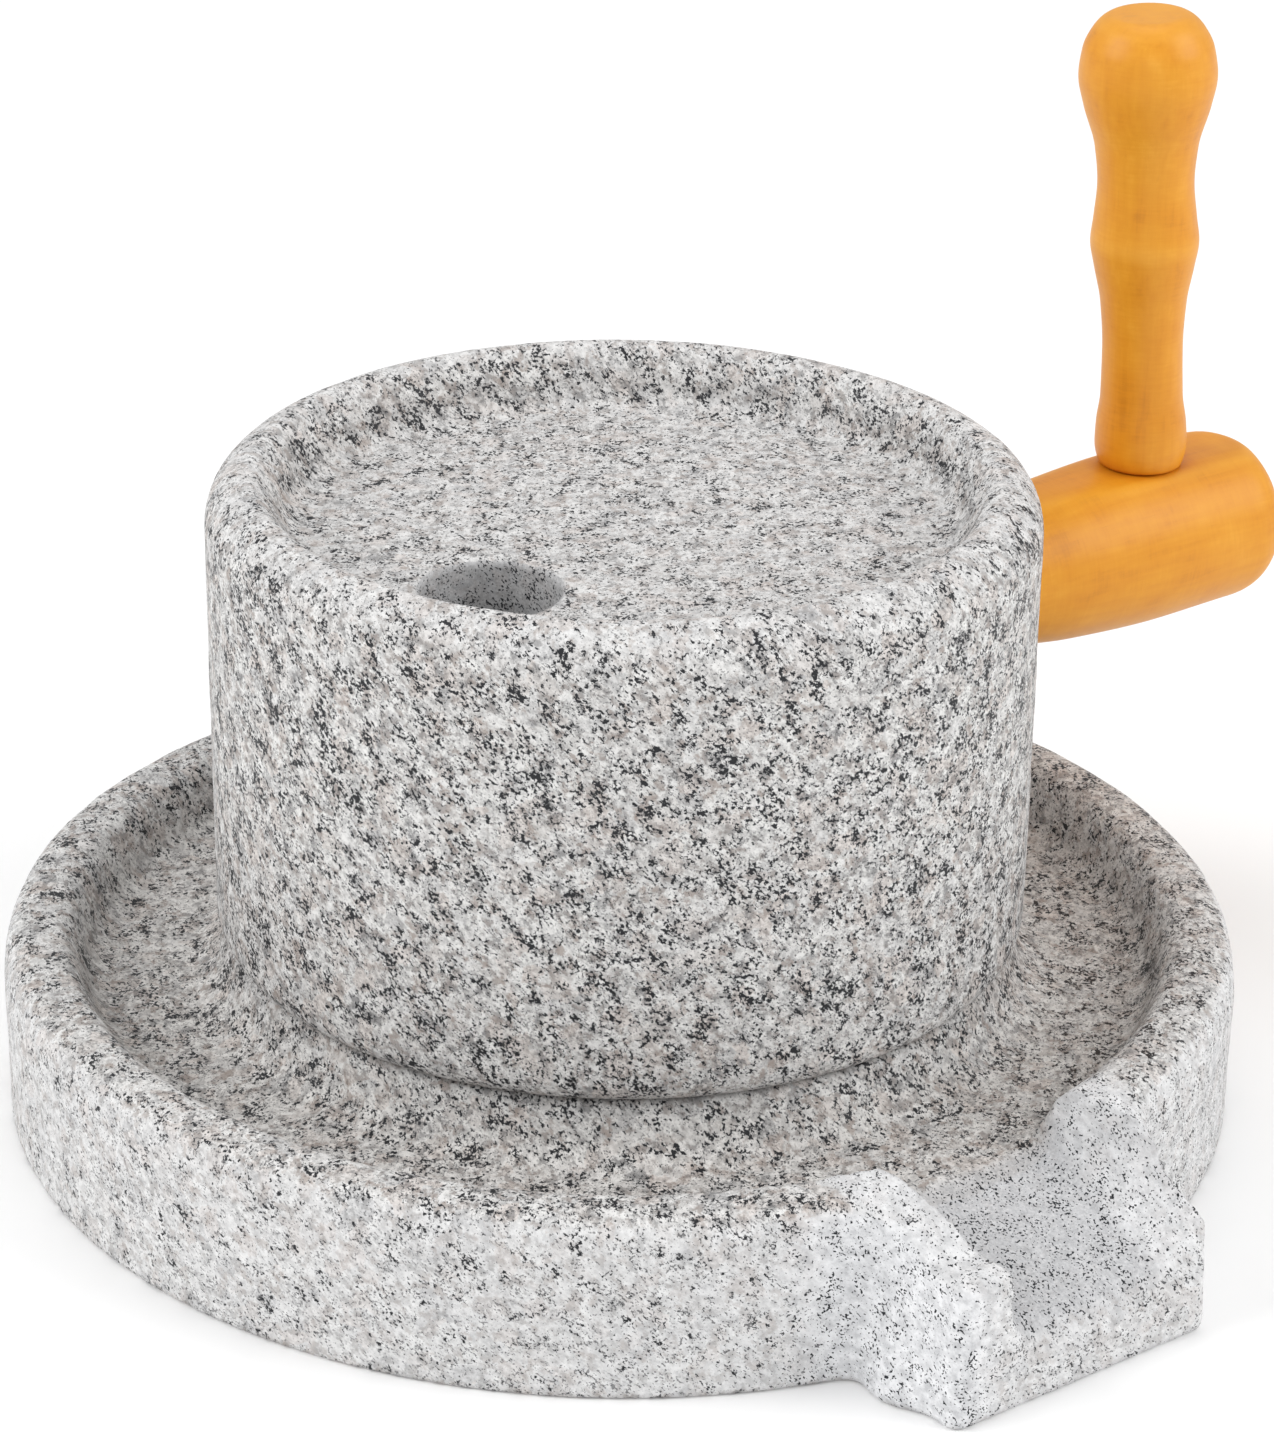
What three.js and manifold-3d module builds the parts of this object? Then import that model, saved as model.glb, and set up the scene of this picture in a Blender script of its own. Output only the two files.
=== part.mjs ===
// Household rotary quern in granite: a tray stone, a runner stone, a wooden arm and its upright grip.
// Millimetres, +Z up. The origin is on the turning axis at the underside, the spout points to -Y
// and the arm to +X.
import * as THREE from "three";
import { mergeVertices } from "three/addons/utils/BufferGeometryUtils.js";
import Module from "manifold-3d";

const GAP = 0.3;                 // clearance between pieces that touch
const STONE_SEGMENTS = 64;       // facets round each stone

// tray stone
const TRAY_RADIUS = 152.7;
const RIM_Z = 44.6;
const BOSS_Z = 43.2;
const TRAY_FOOT_ROUND = 3;
const RIM_ROUND_WIDTH = 5;       // the rim's outer edge is a quarter ellipse
const RIM_ROUND_DROP = 8;
const TROUGH_FLOOR_Z = 30;
const TROUGH_INNER_RADIUS = 96.3;
const TROUGH_OUTER_RADIUS = 137;

// spout
const SPOUT_ROOT = 112;          // hidden start of the block inside the tray stone
const SPOUT_REACH = 177;
const SPOUT_WIDTH = 75;
const SPOUT_OFFSET = 0.7;        // the block sits a little to one side of the centre plane
const SPOUT_TIP_Z = 24;
const SPOUT_EDGE_ROUND = 3.5;
const CHANNEL_START = 132;       // where the trough floor turns down into the channel
const CHANNEL_BACK = 9;          // length of the cutter behind that line, above the trough
const CHANNEL_SLOPE = THREE.MathUtils.degToRad(16);
const LIP_ROUND = 5;
// where the foot and the top of each cheek run: [at the rim, at the lip], across the spout
const LEFT_FOOT = [-21, -13];
const LEFT_TOP = [-28.5, -21];
const RIGHT_FOOT = [23, 20];
const RIGHT_TOP = [27, 37];

// runner stone
const RUNNER_RADIUS = 100;
const RUNNER_BASE_Z = BOSS_Z + GAP;
const RUNNER_TOP_Z = 160.6;
const RUNNER_FOOT_ROUND = 6;
const RUNNER_TOP_ROUND = 11.5;
const DISH_FLOOR_Z = 146.5;
const DISH_MOUTH_RADIUS = RUNNER_RADIUS - RUNNER_TOP_ROUND;
const FEED_RADIUS = 16.7;
const FEED_X = -48.3;
const FEED_Y = -14.4;

// arm
const ARM_Z = 105;
const ARM_ROOT = 72;             // distance of the hidden root from the turning axis
const ARM_FACE = 100;            // where the arm leaves the stone
const ARM_END = 205;
const ARM_ROOT_RADIUS = 13.5;
const ARM_NECK_RADIUS = 15.6;
const ARM_BELLY_RADIUS = 22.8;
const ARM_FLAT = 20.6;           // height of the flat above the arm's own centre line

// grip
const GRIP_DISTANCE = 166.9;
const GRIP_LENGTH = 121.3;
const GRIP_LEAN = THREE.MathUtils.degToRad(3.3);
const GRIP_SINK = 2;             // length drawn below the seat, which the seat plane takes off

const wasm = await Module();
wasm.setup();

/** Points of an elliptical arc in a profile plane, angles in degrees. */
function ellipse(cx, cy, rx, ry, from, to, steps) {
  const points = [];
  for (let i = 0; i <= steps; i += 1) {
    const angle = THREE.MathUtils.degToRad(from + ((to - from) * i) / steps);
    points.push(new THREE.Vector2(cx + rx * Math.cos(angle), cy + ry * Math.sin(angle)));
  }
  return points;
}

function arc(cx, cy, radius, from, to, steps) {
  return ellipse(cx, cy, radius, radius, from, to, steps);
}

/** Samples of a smooth curve through named stations. */
function smooth(stations, steps) {
  const curve = new THREE.SplineCurve(stations.map(([x, y]) => new THREE.Vector2(x, y)));
  return curve.getPoints(steps);
}

/** Solid of revolution about +Z from a profile of (radius, height). */
function turned(profile, segments) {
  const geometry = new THREE.LatheGeometry(profile, segments);
  geometry.rotateX(Math.PI / 2);
  return geometry;
}

function toSolid(geometry) {
  const bare = geometry.clone();
  bare.deleteAttribute("normal");
  bare.deleteAttribute("uv");
  const merged = mergeVertices(bare, 1e-4);
  const mesh = new wasm.Mesh({
    numProp: 3,
    vertProperties: new Float32Array(merged.attributes.position.array),
    triVerts: new Uint32Array(merged.index.array),
  });
  mesh.merge();
  const solid = new wasm.Manifold(mesh);
  return solid.volume() < 0 ? flipped(mesh) : solid;
}

/** The same solid with every triangle turned to face outward. */
function flipped(mesh) {
  const order = Uint32Array.from(mesh.triVerts);
  for (let i = 0; i < order.length; i += 3) {
    const keep = order[i];
    order[i] = order[i + 1];
    order[i + 1] = keep;
  }
  const turnedMesh = new wasm.Mesh({
    numProp: 3,
    vertProperties: mesh.vertProperties,
    triVerts: order,
  });
  return new wasm.Manifold(turnedMesh);
}

function toGeometry(solid) {
  const mesh = solid.getMesh();
  const geometry = new THREE.BufferGeometry();
  geometry.setAttribute("position", new THREE.BufferAttribute(mesh.vertProperties, 3));
  geometry.setIndex(new THREE.BufferAttribute(mesh.triVerts, 1));
  return geometry;
}

function piece(name, geometry, colour, roughness) {
  const flat = geometry.index ? geometry.toNonIndexed() : geometry;
  flat.computeVertexNormals();
  const material = new THREE.MeshStandardMaterial({ color: colour, roughness, metalness: 0 });
  material.name = name;
  const mesh = new THREE.Mesh(flat, material);
  mesh.name = name;
  return mesh;
}

/** The round blank of the tray stone before the trough is sunk in it. */
function trayBlank() {
  const foot = TRAY_RADIUS - TRAY_FOOT_ROUND;
  const rim = TRAY_RADIUS - RIM_ROUND_WIDTH;
  return turned([
    new THREE.Vector2(0, 0),
    ...arc(foot, TRAY_FOOT_ROUND, TRAY_FOOT_ROUND, -90, 0, 3),
    ...ellipse(rim, RIM_Z - RIM_ROUND_DROP, RIM_ROUND_WIDTH, RIM_ROUND_DROP, 0, 90, 5),
    new THREE.Vector2(TROUGH_INNER_RADIUS + 12, RIM_Z),
    new THREE.Vector2(TROUGH_INNER_RADIUS + 12, BOSS_Z),
    new THREE.Vector2(0, BOSS_Z),
  ], STONE_SEGMENTS);
}

/** Ring-shaped trough: flared foot of the boss, flat floor, leaning outer wall. */
function troughRing() {
  const floor = TROUGH_FLOOR_Z;
  const inner = TROUGH_INNER_RADIUS;
  const outer = TROUGH_OUTER_RADIUS;
  const over = RIM_Z + 3;
  return turned([
    new THREE.Vector2(inner, over),
    ...smooth([
      [inner, BOSS_Z],
      [inner + 1.4, floor + 8],
      [inner + 5.2, floor + 2.4],
      [inner + 11.5, floor],
    ], 5),
    ...smooth([
      [outer - 11, floor],
      [outer - 6.5, floor + 2],
      [outer - 3.2, floor + 8],
      [outer - 0.6, RIM_Z - 1],
    ], 5),
    new THREE.Vector2(outer + 2.5, over),
    new THREE.Vector2(inner, over),
  ], STONE_SEGMENTS);
}

/** Turns a geometry drawn as (outward, up) and carried sideways into its place on the -Y side. */
function acrossSpout(geometry) {
  const axes = new THREE.Matrix4().makeBasis(
    new THREE.Vector3(0, -1, 0),
    new THREE.Vector3(0, 0, 1),
    new THREE.Vector3(-1, 0, 0),
  );
  geometry.applyMatrix4(axes);
  return geometry;
}

/** Block of the spout: its side outline carried across the width, with softened edges. */
function spoutBlock() {
  const shape = new THREE.Shape([
    new THREE.Vector2(SPOUT_ROOT, 0),
    new THREE.Vector2(SPOUT_REACH, 0),
    ...smooth([
      [SPOUT_REACH, SPOUT_TIP_Z - 3],
      [SPOUT_REACH - 2.6, SPOUT_TIP_Z + 3],
      [SPOUT_REACH - 9.5, SPOUT_TIP_Z + 9.6],
      [SPOUT_REACH - 25, RIM_Z - 3],
      [SPOUT_REACH - 38, RIM_Z],
    ], 9),
    new THREE.Vector2(SPOUT_ROOT, RIM_Z),
  ]);
  const round = SPOUT_EDGE_ROUND;
  const geometry = new THREE.ExtrudeGeometry(shape, {
    depth: SPOUT_WIDTH - 2 * round,
    bevelThickness: round,
    bevelSize: round,
    bevelOffset: -round,
    bevelSegments: 3,
  });
  geometry.translate(0, 0, round - SPOUT_WIDTH / 2);
  return acrossSpout(geometry).translate(SPOUT_OFFSET, 0, 0);
}

function floorAt(outward) {
  return TROUGH_FLOOR_Z - (outward - CHANNEL_START) * Math.tan(CHANNEL_SLOPE);
}

/**
 * Channel cutter. Its section is drawn in cheek units, with 1 at the foot of a cheek and 2 at its
 * top, and each cross-section is then fitted to the lines that the feet and tops follow.
 */
function channelCutter() {
  const cheek = smooth([[1, 0], [1.3, 1.2], [1.6, 4.2], [1.85, 8.5], [2, 13]], 6);
  const mirrored = cheek.map((p) => new THREE.Vector2(-p.x, p.y)).reverse();
  const shape = new THREE.Shape([
    ...cheek,
    new THREE.Vector2(2.2, 60),
    new THREE.Vector2(-2.2, 60),
    ...mirrored,
  ]);
  const clear = 8;
  const reach = CHANNEL_BACK + SPOUT_REACH + clear - CHANNEL_START;
  const geometry = new THREE.ExtrudeGeometry(shape, { depth: reach, steps: 8, bevelEnabled: false });
  const place = geometry.attributes.position;
  for (let i = 0; i < place.count; i += 1) {
    const onward = place.getZ(i) - CHANNEL_BACK;
    const share = onward / (SPOUT_REACH - CHANNEL_START);
    const foot = place.getX(i) < 0 ? LEFT_FOOT : RIGHT_FOOT;
    const top = place.getX(i) < 0 ? LEFT_TOP : RIGHT_TOP;
    const opening = place.getX(i) < 0 ? share : THREE.MathUtils.clamp(1.5 * share, -0.1, 1);
    const footAt = THREE.MathUtils.lerp(foot[0], foot[1], share);
    const topAt = THREE.MathUtils.lerp(top[0], top[1], opening);
    const across = THREE.MathUtils.lerp(footAt, topAt, Math.abs(place.getX(i)) - 1);
    const outward = CHANNEL_START + onward;
    place.setXYZ(i, across, -outward, floorAt(outward) + place.getY(i));
  }
  return geometry;
}

/** Rounds the pouring lip where the channel floor meets the front face. */
function lipCutter() {
  const start = SPOUT_REACH - LIP_ROUND;
  const z = floorAt(start);
  const over = z + 6;
  const beyond = SPOUT_REACH + 4;
  const shape = new THREE.Shape([
    ...arc(start, z - LIP_ROUND, LIP_ROUND, 0, 90, 4),
    new THREE.Vector2(start, over),
    new THREE.Vector2(beyond, over),
    new THREE.Vector2(beyond, z - LIP_ROUND),
  ]);
  const width = RIGHT_FOOT[1] - LEFT_FOOT[1];
  const geometry = new THREE.ExtrudeGeometry(shape, { depth: width, bevelEnabled: false });
  geometry.translate(0, 0, -width / 2);
  return acrossSpout(geometry).translate((RIGHT_FOOT[1] + LEFT_FOOT[1]) / 2, 0, 0);
}

function lowerStone() {
  const blank = toSolid(trayBlank()).add(toSolid(spoutBlock()));
  const sunk = blank.subtract(toSolid(troughRing()));
  const opened = sunk.subtract(toSolid(channelCutter()));
  return toGeometry(opened.subtract(toSolid(lipCutter())));
}

/** Drum of the runner with its rounded crest and the shallow dish in its top. */
function runnerDrum() {
  const foot = RUNNER_RADIUS - RUNNER_FOOT_ROUND;
  const mouth = DISH_MOUTH_RADIUS;
  return turned([
    new THREE.Vector2(0, RUNNER_BASE_Z),
    ...arc(foot, RUNNER_BASE_Z + RUNNER_FOOT_ROUND, RUNNER_FOOT_ROUND, -90, 0, 4),
    ...arc(mouth, RUNNER_TOP_Z - RUNNER_TOP_ROUND, RUNNER_TOP_ROUND, 0, 90, 6),
    ...smooth([
      [mouth - 2.2, RUNNER_TOP_Z - 1.7],
      [mouth - 4.9, RUNNER_TOP_Z - 5.8],
      [mouth - 7.5, DISH_FLOOR_Z + 3.3],
      [mouth - 10.5, DISH_FLOOR_Z + 0.7],
      [mouth - 15, DISH_FLOOR_Z],
    ], 8),
    new THREE.Vector2(0, DISH_FLOOR_Z),
  ], STONE_SEGMENTS);
}

function feedHole() {
  const height = RUNNER_TOP_Z - RUNNER_BASE_Z + 20;
  const geometry = new THREE.CylinderGeometry(FEED_RADIUS, FEED_RADIUS, height, 36);
  geometry.rotateX(Math.PI / 2);
  geometry.translate(FEED_X, FEED_Y, (RUNNER_TOP_Z + RUNNER_BASE_Z) / 2);
  return geometry;
}

/** Blind tapered socket in the side of the runner that takes the root of the arm. */
function armSocket() {
  const start = ARM_ROOT - GAP;
  const reach = ARM_FACE + 4;
  const taper = (ARM_NECK_RADIUS - ARM_ROOT_RADIUS) / (ARM_FACE - ARM_ROOT);
  const mouth = ARM_NECK_RADIUS + GAP + taper * (reach - ARM_FACE);
  const end = ARM_ROOT_RADIUS + GAP;
  const geometry = new THREE.CylinderGeometry(mouth, end, reach - start, 40);
  geometry.rotateZ(-Math.PI / 2);
  geometry.translate((reach + start) / 2, 0, ARM_Z);
  return geometry;
}

function upperStone() {
  const drum = toSolid(runnerDrum()).subtract(toSolid(feedHole()));
  return toGeometry(drum.subtract(toSolid(armSocket())));
}

/** Barrel-shaped arm with a tapered root, a rounded end and a flat planed along its top. */
function handleArm() {
  const belly = ARM_BELLY_RADIUS;
  const profile = [
    new THREE.Vector2(0, ARM_ROOT),
    new THREE.Vector2(ARM_ROOT_RADIUS - 1, ARM_ROOT),
    new THREE.Vector2(ARM_ROOT_RADIUS + 0.05, ARM_ROOT + 1),
    ...smooth([
      [ARM_NECK_RADIUS, ARM_FACE],
      [belly - 4.4, ARM_FACE + 16],
      [belly - 1.4, ARM_FACE + 38],
      [belly, ARM_FACE + 66],
      [belly - 0.3, ARM_END - 14],
      [belly - 3.4, ARM_END - 6],
      [belly - 10.5, ARM_END - 1.4],
    ], 15),
    new THREE.Vector2(0, ARM_END),
  ];
  const barrel = turned(profile, 36);
  barrel.rotateY(Math.PI / 2);
  barrel.translate(0, 0, ARM_Z);
  const plane = new THREE.BoxGeometry(300, 100, 40);
  plane.translate(150, 0, ARM_Z + ARM_FLAT + 20);
  return toGeometry(toSolid(barrel).subtract(toSolid(plane)));
}

/** Turned grip: swelling foot, waist, bead, second waist and a bulb with a flat end. */
function handleGrip() {
  const turning = smooth([
    [10.2, -GRIP_SINK],
    [11.9, 6],
    [11.6, 12],
    [10.6, 20],
    [10.4, 34],
    [11.2, 46],
    [13.2, 56.5],
    [13.8, 61.5],
    [13.2, 67],
    [12.35, 77.5],
    [13.2, 87.5],
    [16.2, 98],
    [17.4, 105],
    [16.4, 112.5],
    [12.6, GRIP_LENGTH - 2],
    [8, GRIP_LENGTH],
  ], 40);
  const profile = [
    new THREE.Vector2(0, -GRIP_SINK),
    ...turning,
    new THREE.Vector2(0, GRIP_LENGTH),
  ];
  const stick = turned(profile, 28);
  stick.rotateY(-GRIP_LEAN);
  stick.translate(GRIP_DISTANCE, 0, ARM_Z + ARM_FLAT + GAP);
  const seat = new THREE.BoxGeometry(60, 60, 20);
  seat.translate(GRIP_DISTANCE, 0, ARM_Z + ARM_FLAT + GAP - 10);
  return toGeometry(toSolid(stick).subtract(toSolid(seat)));
}

const quern = new THREE.Group();
quern.name = "rotary_quern";
quern.add(piece("lower_stone", lowerStone(), 0xb9b8b6, 0.8));
quern.add(piece("upper_stone", upperStone(), 0xb4b2af, 0.8));
quern.add(piece("handle_arm", handleArm(), 0xd9962f, 0.5));
quern.add(piece("handle_grip", handleGrip(), 0xe0a03a, 0.45));

export default quern;
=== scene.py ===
"""Household rotary quern: granite tray stone and runner stone, with a wooden arm and grip."""
import math

import bpy
import numpy as np
from mathutils import Matrix, Vector


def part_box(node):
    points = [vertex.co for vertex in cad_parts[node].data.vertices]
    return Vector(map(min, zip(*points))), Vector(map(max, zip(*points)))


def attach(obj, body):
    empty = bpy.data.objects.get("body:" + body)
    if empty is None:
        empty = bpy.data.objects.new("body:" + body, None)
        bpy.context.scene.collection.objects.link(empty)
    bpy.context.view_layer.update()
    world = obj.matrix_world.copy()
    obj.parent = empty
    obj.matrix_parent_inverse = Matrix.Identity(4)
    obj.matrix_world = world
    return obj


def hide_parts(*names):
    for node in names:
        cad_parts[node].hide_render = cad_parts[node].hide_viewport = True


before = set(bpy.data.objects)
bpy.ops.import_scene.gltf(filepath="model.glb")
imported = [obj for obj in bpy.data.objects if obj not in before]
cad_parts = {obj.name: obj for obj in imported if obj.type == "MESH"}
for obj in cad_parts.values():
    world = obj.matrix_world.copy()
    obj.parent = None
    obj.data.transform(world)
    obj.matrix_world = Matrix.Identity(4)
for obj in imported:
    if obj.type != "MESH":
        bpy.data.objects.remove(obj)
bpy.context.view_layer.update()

# Shapes below are worked out in millimetres, from the boxes of the CAD nodes.
MM = 0.001


def node_box(name):
    low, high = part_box(name)
    return np.array(low) / MM, np.array(high) / MM


TRAY_LOW, TRAY_HIGH = node_box("lower_stone")
RUNNER_LOW, RUNNER_HIGH = node_box("upper_stone")
ARM_LOW, ARM_HIGH = node_box("handle_arm")
GRIP_LOW, GRIP_HIGH = node_box("handle_grip")

TRAY_RADIUS = TRAY_HIGH[0]
RIM_Z = TRAY_HIGH[2]
BOSS_Z = RIM_Z - 1.4
TROUGH_Z = 30.0
TROUGH_INNER = 96.3
TROUGH_OUTER = 137.0
SPOUT_REACH = -TRAY_LOW[1]
SPOUT_HALF = 37.6
SPOUT_OFFSET = 0.7
SPOUT_TIP_Z = 24.0
SPOUT_START = 130.0
CHANNEL_START = 132.0
CHANNEL_FALL = math.tan(math.radians(16))
LIP_LENGTH = 6.5
CHIN_RADIUS = 8

RUNNER_RADIUS = RUNNER_HIGH[0]
RUNNER_BASE = RUNNER_LOW[2]
RUNNER_TOP = RUNNER_HIGH[2]
RUNNER_TOP_ROUND = 11.5
RUNNER_FOOT_ROUND = 6.0
DISH_Z = RUNNER_TOP - 14.1
DISH_EDGE = 84.0
FEED_CENTRE = (-48.3, -14.4)
FEED_RADIUS = 16.7

ARM_ROOT = ARM_LOW[0]
ARM_END = ARM_HIGH[0]
ARM_BELLY = ARM_HIGH[1]
ARM_Z = ARM_LOW[2] + ARM_BELLY
ARM_FLAT_Z = ARM_HIGH[2]
ARM_END_LENGTH = 15
GRIP_SEAT_Z = GRIP_LOW[2]
GRIP_X = 166.9
GRIP_LEAN = math.radians(3.3)
GRIP_LENGTH = 121.3
GAP = 0.3


# ---------------------------------------------------------------- curves and fields

def curve(*stations):
    """A smooth curve through the stations that never overshoots them."""
    x = np.array([s[0] for s in stations], float)
    y = np.array([s[1] for s in stations], float)
    slope = np.diff(y) / np.diff(x)
    tangent = np.empty(len(x))
    tangent[0] = slope[0]
    tangent[-1] = slope[-1]
    for i in range(1, len(x) - 1):
        a, b = slope[i - 1], slope[i]
        tangent[i] = 2 * a * b / (a + b) if a * b > 0 else 0.0
    fine = np.linspace(x[0], x[-1], 600)
    i = np.clip(np.searchsorted(x, fine, "right") - 1, 0, len(x) - 2)
    span = x[i + 1] - x[i]
    t = (fine - x[i]) / span
    rise = y[i] * (1 + 2 * t) * (1 - t) ** 2 + y[i + 1] * t * t * (3 - 2 * t)
    bend = span * (tangent[i] * t * (1 - t) ** 2 - tangent[i + 1] * t * t * (1 - t))
    return lambda v: np.interp(v, fine, rise + bend)


def smooth_min(a, b, k):
    h = np.clip(0.5 + 0.5 * (b - a) / k, 0, 1)
    return b + (a - b) * h - k * h * (1 - h)


def smooth_max(a, b, k):
    return -smooth_min(-a, -b, k)


def ramp(value, start, end):
    return np.clip((value - start) / (end - start), 0, 1)


def rounded_box(u, v, half_u, half_v, corner):
    """Signed distance in a plane to a box with rounded corners, centred on the origin."""
    du = np.abs(u) - half_u + corner
    dv = np.abs(v) - half_v + corner
    outside = np.hypot(np.maximum(du, 0), np.maximum(dv, 0))
    return outside + np.minimum(np.maximum(du, dv), 0) - corner


def lattice(points, size, seed):
    """Smooth random field from -1 to 1, with features of about the given size."""
    p = points / size
    cell = np.floor(p).astype(np.int64)
    f = p - cell
    f = f * f * (3 - 2 * f)
    total = np.zeros(len(points))
    for corner in range(8):
        step = np.array([corner & 1, corner >> 1 & 1, corner >> 2 & 1])
        c = cell + step
        key = c[:, 0] * 73856093 ^ c[:, 1] * 19349663 ^ c[:, 2] * 83492791 ^ seed * 2654435761
        key = (key ^ key >> 13) * 1274126177 & 0xFFFFFFFF
        value = (key ^ key >> 16 & 0xFFFF) / 0xFFFFFFFF * 2 - 1
        weight = np.prod(np.where(step, f, 1 - f), axis=1)
        total += weight * value
    return total


# ---------------------------------------------------------------- the shapes

RIM_PROFILE = curve(
    (0, BOSS_Z), (TROUGH_INNER - 1.2, BOSS_Z), (TROUGH_INNER + 0.3, BOSS_Z - 1.4),
    (TROUGH_INNER + 2.0, TROUGH_Z + 7.5), (TROUGH_INNER + 5.4, TROUGH_Z + 2.6),
    (TROUGH_INNER + 12, TROUGH_Z), (TROUGH_OUTER - 11, TROUGH_Z), (TROUGH_OUTER - 6.6, TROUGH_Z + 2),
    (TROUGH_OUTER - 3.4, TROUGH_Z + 7.6), (TROUGH_OUTER - 1.2, RIM_Z - 2.4),
    (TROUGH_OUTER + 1.4, RIM_Z - 0.4), (TROUGH_OUTER + 5, RIM_Z), (TRAY_RADIUS - 7, RIM_Z - 0.1),
    (TRAY_RADIUS - 3.2, RIM_Z - 1.4), (TRAY_RADIUS - 1, RIM_Z - 4), (TRAY_RADIUS, RIM_Z - 8.5),
)
CHEEK_TOP = curve(
    (100, RIM_Z), (SPOUT_REACH - 36, RIM_Z), (SPOUT_REACH - 23, RIM_Z - 2.2),
    (SPOUT_REACH - 8.5, SPOUT_TIP_Z + 10.2), (SPOUT_REACH - 2.2, SPOUT_TIP_Z + 3.4),
    (SPOUT_REACH, SPOUT_TIP_Z - 2), (SPOUT_REACH + 3, SPOUT_TIP_Z - 12),
)
CHEEK_RISE = curve((0, 0), (0.3, 1.3), (0.6, 4.3), (0.85, 8.6), (1.0, 13), (1.25, 60), (3, 400))
LEFT_FOOT = curve((CHANNEL_START, 21), (SPOUT_REACH, 13))
LEFT_TOP = curve((CHANNEL_START, 28.5), (SPOUT_REACH, 21))
RIGHT_FOOT = curve((CHANNEL_START, 23), (SPOUT_REACH, 20))
RIGHT_TOP = curve((CHANNEL_START, 27), (CHANNEL_START + 30, 36.5), (SPOUT_REACH, 37))


def channel_height(across, outward):
    """Height of the channel's floor and cheeks, and far above the stone away from it."""
    left = across < 0
    foot = np.where(left, LEFT_FOOT(outward), RIGHT_FOOT(outward))
    top = np.where(left, LEFT_TOP(outward), RIGHT_TOP(outward))
    cheek = CHEEK_RISE((np.abs(across) - foot) / (top - foot))
    floor = TROUGH_Z - (outward - CHANNEL_START) * CHANNEL_FALL
    lip = np.maximum(outward - SPOUT_REACH + LIP_LENGTH, 0) ** 2 / 9
    inward = np.maximum(CHANNEL_START - 7 - outward, 0) * 8
    return floor + cheek - lip + inward


def tray_field(p):
    x, y, z = p.T
    outward = -y
    across = x - SPOUT_OFFSET
    radius = np.hypot(x, y)
    block = rounded_box(across, outward - SPOUT_REACH / 2, SPOUT_HALF, SPOUT_REACH / 2, 4.0)
    plan = smooth_min(radius - TRAY_RADIUS, block, 11)
    chin = np.hypot(across + SPOUT_HALF - 3, outward - SPOUT_REACH + 20) - CHIN_RADIUS
    chin_taper = np.maximum(z - 6, 0) * 0.45
    plan = smooth_min(plan, chin + chin_taper, 7)
    on_spout = np.where(outward > 120, CHEEK_TOP(outward), 0)
    height = smooth_max(RIM_PROFILE(radius), on_spout - 400 * (np.abs(across) > 60), 3)
    height = np.where((outward > 118) & (radius > TROUGH_OUTER + 2), height, RIM_PROFILE(radius))
    crispness = np.where(across < 0, 1.4, 3.2)
    height = smooth_min(height, channel_height(across, outward), crispness)
    soften = 3.5 + 2.0 * ramp(across, 5, 30) * ramp(outward, 115, 145)
    solid = smooth_max(plan, z - height, soften)
    return smooth_max(solid, -z, 1.6)


DISH_PROFILE = curve(
    (0, DISH_Z), (73.5, DISH_Z), (78, DISH_Z + 0.8), (81, DISH_Z + 3.4), (83.6, RUNNER_TOP - 5.8),
    (86.3, RUNNER_TOP - 1.9), (88.5, RUNNER_TOP - 0.2), (90, RUNNER_TOP + 0.8), (100, RUNNER_TOP + 20),
)


def drum(radius, z):
    middle = (RUNNER_TOP + RUNNER_BASE) / 2
    half = (RUNNER_TOP - RUNNER_BASE) / 2
    upper = rounded_box(radius, z - middle, RUNNER_RADIUS, half, RUNNER_TOP_ROUND)
    lower = rounded_box(radius, z - middle, RUNNER_RADIUS, half, RUNNER_FOOT_ROUND)
    return np.where(z > middle, upper, lower)


ARM_PROFILE = curve(
    (ARM_ROOT, ARM_BELLY - 9.3), (100, ARM_BELLY - 7.2), (116, ARM_BELLY - 4.4),
    (138, ARM_BELLY - 1.4), (166, ARM_BELLY), (ARM_END - 14, ARM_BELLY - 0.3),
    (ARM_END, ARM_BELLY - 0.3),
)


def runner_field(p):
    x, y, z = p.T
    radius = np.hypot(x, y)
    solid = smooth_max(drum(radius, z), z - DISH_PROFILE(radius), 1.0)
    feed = np.hypot(x - FEED_CENTRE[0], y - FEED_CENTRE[1]) - FEED_RADIUS
    solid = smooth_max(solid, -feed, 1.0)
    socket = np.maximum(np.hypot(y, z - ARM_Z) - ARM_PROFILE(x) - GAP, ARM_ROOT - GAP - x)
    return smooth_max(solid, -socket, 0.8)


def arm_field(p):
    x, y, z = p.T
    across = np.hypot(y, z - ARM_Z)
    beyond = np.maximum(x - ARM_END + ARM_END_LENGTH, 0) / ARM_END_LENGTH
    girth = across / ARM_PROFILE(x)
    barrel = ((beyond ** 3.0 + girth ** 3.0) ** (1 / 3.0) - 1) * ARM_BELLY
    barrel = smooth_max(barrel, ARM_ROOT - x, 1.5)
    return smooth_max(barrel, z - ARM_FLAT_Z, 1.3)


GRIP_PROFILE = curve(
    (-4, 9.6), (0, 10.9), (5.5, 12.0), (11.5, 11.7), (19, 10.7), (33, 10.4), (45, 11.1), (55, 12.9),
    (61.5, 13.9), (67.5, 13.2), (77.5, 12.3), (87, 13.1), (98, 16.1), (105.5, 17.45),
    (112.5, 16.5), (117.5, 14.1), (GRIP_LENGTH, 10.6), (GRIP_LENGTH + 4, 6),
)


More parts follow.
